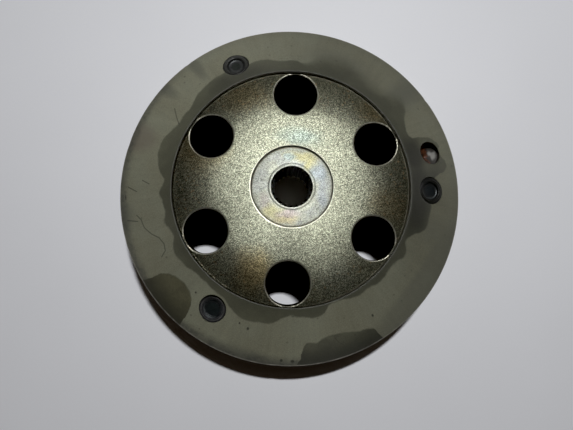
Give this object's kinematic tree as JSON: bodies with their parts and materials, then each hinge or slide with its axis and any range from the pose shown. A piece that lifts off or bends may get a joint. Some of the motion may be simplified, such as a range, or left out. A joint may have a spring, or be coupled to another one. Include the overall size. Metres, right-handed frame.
{
  "type": "outer-rotor flywheel",
  "caption": "Cup-shaped engine flywheel: steel rim with conical shoulder, domed plated web with round holes, splined hub, formed rivets and arc magnets inside.",
  "frame": {"origin": "on the wheel's axis, in the plane of the open rim it rests on", "axes": "+Z along the axis, out of the closed face; one web hole lies on +Y"},
  "size_m": [0.14, 0.14, 0.0364],
  "materials": {
    "rim_steel": "satin olive-grey turned steel",
    "zinc_yellow": "yellow-passivated zinc over shot-blasted steel",
    "hub_steel": "fine turned, yellow-passivated",
    "rivet_black": "blue-black oxide",
    "carrier_steel": "phosphated pressed steel",
    "ferrite": "ground ferrite",
    "spacer_plastic": "glass-filled moulding",
    "sleeve_steel": "thin stainless strip",
    "spring_steel": "black oxide spring steel"
  },
  "bodies": {
    "root": {"rim_shell": "rim_steel", "web_plate": "zinc_yellow", "splined_hub": "hub_steel", "rim_rivet_1": "rivet_black", "rim_rivet_2": "rivet_black", "rim_rivet_3": "rivet_black", "magnet_carrier": "carrier_steel", "magnet_spacer": "spacer_plastic", "magnet_sleeve": "sleeve_steel", "retaining_ring": "spring_steel", "magnet_01": "ferrite", "magnet_02": "ferrite", "magnet_03": "ferrite", "magnet_04": "ferrite", "magnet_05": "ferrite", "magnet_06": "ferrite", "magnet_07": "ferrite", "magnet_08": "ferrite", "magnet_09": "ferrite", "magnet_10": "ferrite", "magnet_11": "ferrite", "magnet_12": "ferrite"}
  },
  "joints": []
}
